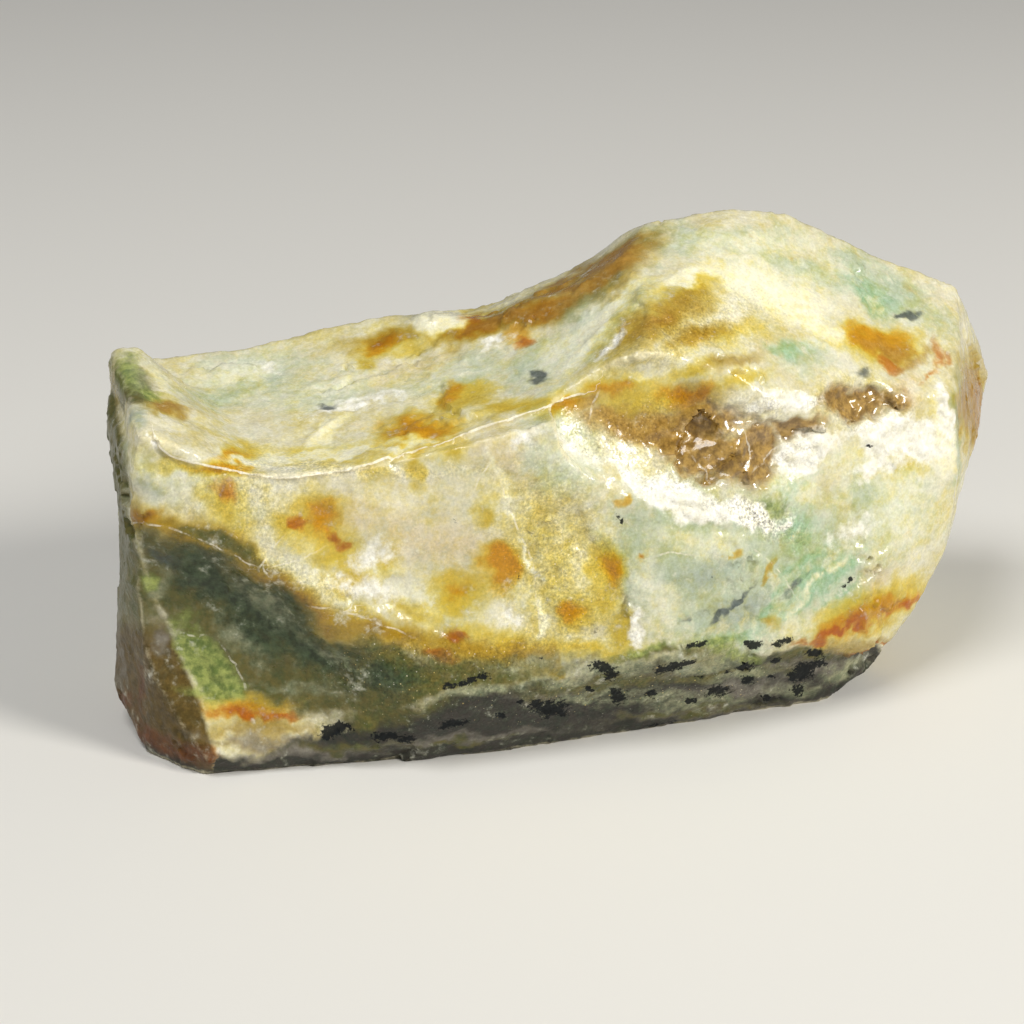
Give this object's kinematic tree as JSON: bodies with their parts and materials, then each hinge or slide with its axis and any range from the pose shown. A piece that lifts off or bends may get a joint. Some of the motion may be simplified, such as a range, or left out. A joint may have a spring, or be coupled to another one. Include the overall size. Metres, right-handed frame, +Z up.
{
  "type": "rough opal",
  "caption": "Rough opal, unpolished: an elongated stone with a hollowed top, a raised peak towards one end, flake scars round its sides and a flat patch underneath that it rests on.",
  "frame": {"origin": "on the flat patch that the stone rests on, under the middle of the stone", "axes": "+X along the stone towards its thick, pale end; +Y away from its best side; +Z up"},
  "size_m": [0.042, 0.0168, 0.0203],
  "materials": {
    "opal_stone": "waxy, as broken, cream with ochre, green and brown zones"
  },
  "bodies": {
    "root": {"opal_stone": "opal_stone"}
  },
  "joints": []
}
